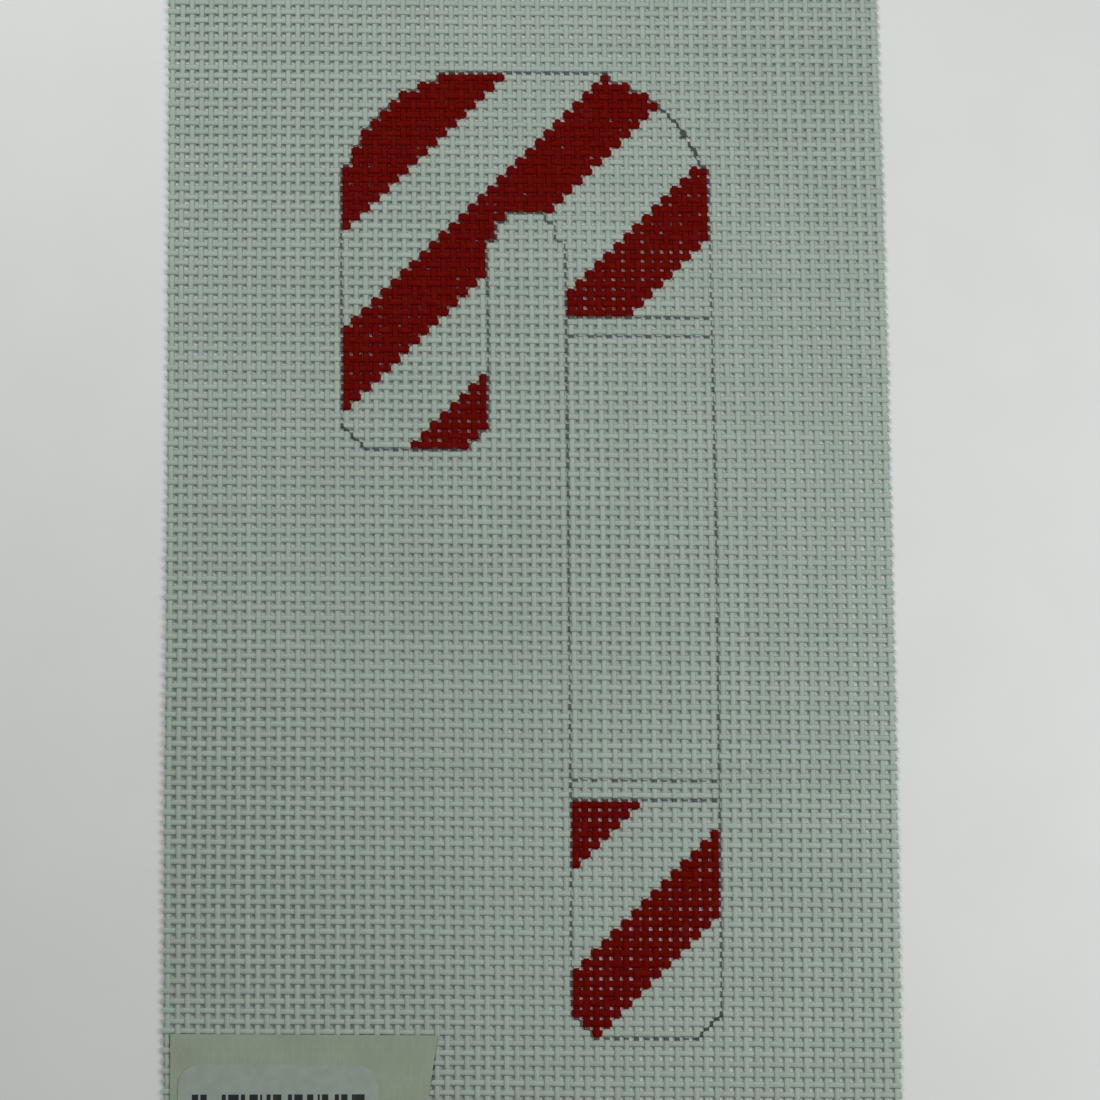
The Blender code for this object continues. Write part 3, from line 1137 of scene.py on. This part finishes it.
@dataclass
class CodeSticker:
    """The coated sticker on the tape, with round corners and a printed block of bars."""

    tape: TapeLabel
    corner: float = 2.2                    # stitches
    corner_steps: int = 6
    thickness: float = 0.10 * MILLIMETRE
    quiet_zone: float = 1.35               # stitches from the sides to the bars
    bars_from_top: float = 2.9
    bars_height: float = 7.0
    course: float = 2.2 * MILLIMETRE       # between the cuts that let it follow the tape
    sharp: float = math.radians(40)

    def finish(self) -> StickerFinish:
        """Places the block of bars on the sticker.

        Returns:
            The sticker's finish.
        """
        low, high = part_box("code_sticker")
        sheet = self.tape.canvas.sheet
        quiet = self.quiet_zone * sheet.pitch
        top = high.y - self.bars_from_top * sheet.pitch
        bottom = top - self.bars_height * sheet.pitch
        left, bottom = sheet.pulled(low.x + quiet, bottom)
        right, top = sheet.pulled(high.x - quiet, top)
        return StickerFinish(left=left, right=right, bottom=bottom, top=top)

    def build(self) -> Object:
        """Builds the sticker from a thin block with bevelled corners and cross cuts.

        Returns:
            The sticker as a piece.
        """
        low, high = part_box("code_sticker")
        bpy.ops.object.select_all(action="DESELECT")
        bpy.ops.mesh.primitive_cube_add(size=1.0, location=(
            (low.x + high.x) / 2, (low.y + high.y) / 2, self.thickness / 2))
        sticker = bpy.context.object
        sticker.name = sticker.data.name = "code_sticker_paper"
        sticker.scale = (high.x - low.x, high.y - low.y, self.thickness)
        bpy.ops.object.transform_apply(location=True, rotation=False, scale=True)

        bpy.ops.object.mode_set(mode="EDIT")
        bpy.ops.mesh.select_mode(type="EDGE")
        bpy.ops.mesh.select_all(action="DESELECT")
        sheet, body = self.tape.canvas.sheet, bmesh.from_edit_mesh(sticker.data)
        for edge in body.edges:
            start, end = (vertex.co for vertex in edge.verts)
            edge.select_set(abs(start.z - end.z) > self.thickness / 2)
        bmesh.update_edit_mesh(sticker.data)
        bpy.ops.mesh.bevel(offset=self.corner * sheet.pitch, segments=self.corner_steps)
        for axis, start, end in ((0, low.x, high.x), (1, low.y, high.y)):
            cuts = round((end - start) / self.course)
            for cut in range(1, cuts):
                place, normal = [0.0, 0.0, 0.0], [0.0, 0.0, 0.0]
                place[axis] = start + (end - start) * cut / cuts
                normal[axis] = 1.0
                bpy.ops.mesh.select_all(action="SELECT")
                bpy.ops.mesh.bisect(plane_co=place, plane_no=normal)
        bpy.ops.object.mode_set(mode="OBJECT")

        base = self.tape.thickness
        for vertex in sticker.data.vertices:
            x, y = sheet.pulled(vertex.co.x, vertex.co.y)
            vertex.co = (x, y, float(self.tape.underside(x, y)) + base + vertex.co.z)
        bpy.ops.object.shade_smooth_by_angle(angle=self.sharp)
        sticker.data.materials.append(self.finish().material())
        return settle(sticker, Slot.STICKER, "code_sticker")


@dataclass
class CutFibres:
    """Loose cotton fibres that stand out of the cut ends of the threads."""

    canvas: WovenCanvas
    per_end: int = 3
    longest: float = 0.55 * MILLIMETRE
    shortest: float = 0.4                  # as a share of the longest
    radius: float = 0.028 * MILLIMETRE
    root_play: float = 0.2                 # millimetres across the thread
    root_depth: float = 0.1                # millimetres inside its end, and up or down
    lean: float = 0.6                      # to either side, as a share of the length
    lift: tuple[float, float] = (-0.25, 0.1)
    rings: tuple[float, float, float] = (0.0, 0.55, 1.0)
    taper: float = 0.5                     # of the radius, lost at the tip
    seed: int = 74

    def ends(self) -> list[tuple[Array, Array]]:
        """Lists the cut ends.

        Returns:
            The middle and the outward direction of each.
        """
        found = []
        for run in Run:
            threads = self.canvas.thread_set(run, 0, self.canvas.sheet.rows)
            for end, near in ((0, 1), (-1, -2)):
                for path in threads.centres:
                    outwards = path[end] - path[near]
                    found.append((path[end], outwards / np.linalg.norm(outwards)))
        return found

    def build(self, material: Material) -> Object:
        """Builds all fibres as three-sided spikes in one mesh.

        Args:
            material: The fibres' material.

        Returns:
            The fibres as a piece.
        """
        rng = np.random.default_rng(self.seed)
        vertices, faces = [], []
        for middle, outwards in self.ends():
            for _ in range(self.per_end):
                self.add_fibre(rng, vertices, faces, middle, outwards)
        mesh = smooth_mesh("cut_end_fibres", vertices, faces, material)
        lay_values(mesh, {dress: np.full(len(vertices), 0.5 * (dress is Dress.LOT))
                          for dress in Dress})
        mesh.uv_layers.new(name=THREAD_MAP)
        return new_piece(mesh, Slot.THREAD)

    def add_fibre(self, rng: np.random.Generator, vertices: list, faces: list,
                  middle: Array, outwards: Array) -> None:
        """Adds one closed fibre of three rings.

        Args:
            rng: The seeded source of the draw.
            vertices: The mesh's vertices so far.
            faces: The mesh's faces so far.
            middle: The middle of the cut end.
            outwards: The thread's direction there.
        """
        side = np.cross(outwards, (0.0, 0.0, 1.0))
        side /= np.linalg.norm(side)
        up = np.cross(side, outwards)
        root = middle + side * rng.uniform(-self.root_play, self.root_play) * MILLIMETRE
        root = root - outwards * self.root_depth * MILLIMETRE
        root = root + up * rng.uniform(-self.root_depth, self.root_depth) * MILLIMETRE
        lean = side * rng.uniform(-self.lean, self.lean) + up * rng.uniform(*self.lift)
        length = self.longest * rng.uniform(self.shortest, 1.0)
        start = len(vertices)
        for share in self.rings:
            place = root + outwards * length * share + lean * length * share ** 2
            place[2] = max(place[2], self.radius)
            radius = self.radius * (1 - self.taper * share)
            for corner in range(3):
                angle = math.tau * corner / 3
                spoke = math.cos(angle) * side + math.sin(angle) * up
                vertices.append(tuple(place + radius * spoke))
        for ring in range(2):
            for corner in range(3):
                a = start + 3 * ring + corner
                b = start + 3 * ring + (corner + 1) % 3
                faces.append((a, a + 3, b + 3, b))
        faces.append((start, start + 1, start + 2))
        faces.append((start + 8, start + 7, start + 6))


@dataclass(frozen=True)
class Studio:
    """A plain pale table, soft lights and an even sky."""

    floor_size: float = 3.0
    floor_color: Color = (0.85, 0.88, 0.85)
    floor_shade: float = 0.98              # of that colour, in its darker patches
    patch_scale: float = 60.0              # patches a metre
    grain_scale: float = 900.0
    grain_depth: float = 0.1 * MILLIMETRE
    gloss: float = 0.2
    sky_color: Color = (1.0, 1.0, 1.0)
    sky_strength: float = 0.244
    right_place: tuple[float, float, float] = (0.23, -0.05, 0.21)
    right_power: float = 0.378
    top_place: tuple[float, float, float] = (-0.12, 0.225, 0.24)
    top_power: float = 0.448
    light_size: float = 0.17

    def build(self) -> None:
        """Builds the table, the sky and the lights."""
        self.build_floor()
        self.build_sky()
        self.add_light("right_light", self.right_place, self.right_power)
        self.add_light("top_light", self.top_place, self.top_power)

    def build_floor(self) -> None:
        """Lays the table under the canvas."""
        bpy.ops.object.select_all(action="DESELECT")
        bpy.ops.mesh.primitive_plane_add(size=self.floor_size, location=(0, 0, 0))
        floor = bpy.context.object
        floor.name = "table_top"
        nodes = NodeTable("pale_table")
        place = nodes.give("Object", "TexCoord")
        patch = nodes.noise(place, self.patch_scale, 3.0)
        darker = tuple(self.floor_shade * value for value in self.floor_color)
        color = nodes.mix(nodes.ramp(patch, 0.3, 0.7), darker, self.floor_color)
        normal = nodes.bump(nodes.noise(place, self.grain_scale), 0.05, self.grain_depth)
        material = nodes.finish(color, 0.7, normal, Specular_IOR_Level=self.gloss)
        floor.data.materials.append(material)

    def build_sky(self) -> None:
        """Sets the even light from all round."""
        world = bpy.data.worlds.new("soft_sky")
        world.use_nodes = True
        shader = world.node_tree.nodes["Background"]
        shader.inputs["Color"].default_value = (*self.sky_color, 1.0)
        shader.inputs["Strength"].default_value = self.sky_strength
        bpy.context.scene.world = world

    def add_light(self, name: str, place: tuple, power: float) -> None:
        """Hangs a square soft light that faces half way between the canvas and straight down.

        Args:
            name: The light's name.
            place: Where it hangs.
            power: Its power in watts.
        """
        light = bpy.data.lights.new(name, "AREA")
        light.energy = power
        light.size = self.light_size
        lamp = bpy.data.objects.new(name, light)
        lamp.location = place
        facing = Vector((-place[0] / 2, -place[1] / 2, -place[2]))
        lamp.rotation_euler = facing.to_track_quat("-Z", "Y").to_euler()
        lamp.visible_camera = False
        bpy.context.scene.collection.objects.link(lamp)


@dataclass(frozen=True)
class PhotoCamera:
    """The camera where the photograph's was: over the foot of the canvas, looking down."""

    aim_x: float = 3.11 * MILLIMETRE
    aim_y: float = -0.57 * MILLIMETRE
    aim_z: float = 0.6 * MILLIMETRE
    distance: float = 0.6745
    elevation: float = math.radians(79.39)
    roll: float = math.radians(-0.115)
    lens: float = 153.6
    sensor: float = 36.0
    clip: tuple[float, float] = (0.01, 20.0)

    def build(self) -> None:
        """Builds the camera and makes it the scene's."""
        data = bpy.data.cameras.new("photo_camera")
        data.lens, data.sensor_width = self.lens, self.sensor
        data.clip_start, data.clip_end = self.clip
        camera = bpy.data.objects.new("photo_camera", data)
        aim = Vector((self.aim_x, self.aim_y, self.aim_z))
        back = Vector((0.0, -math.cos(self.elevation), math.sin(self.elevation)))
        tilt = Matrix.Rotation(math.pi / 2 - self.elevation, 4, "X")
        turn = Matrix.Rotation(self.roll, 4, "Z")
        camera.matrix_world = Matrix.Translation(aim + back * self.distance) @ tilt @ turn
        bpy.context.scene.collection.objects.link(camera)
        bpy.context.scene.camera = camera


def main() -> None:
    """Builds the object piece by piece, then its stage."""
    sheet = Sheet(CaneChart())
    PhotoCamera().build()
    bpy.context.scene.view_settings.view_transform = "Standard"

    canvas = WovenCanvas(sheet)
    cotton = ThreadFinish().material(sheet.chart)
    bands = [canvas.build_band(index, cotton) for index in range(canvas.bands)]
    films = PaintBridges(canvas).build(PaintFinish().material())
    tape_label = TapeLabel(canvas)
    tape = tape_label.build(TapeFinish().material())
    sticker = CodeSticker(tape_label).build()
    fibres = CutFibres(canvas).build(cotton)

    width, length = sheet.columns * sheet.pitch, sheet.rows * sheet.pitch
    width * length / canvas.bands
    Studio().build()


if __name__ == "__main__":
    main()
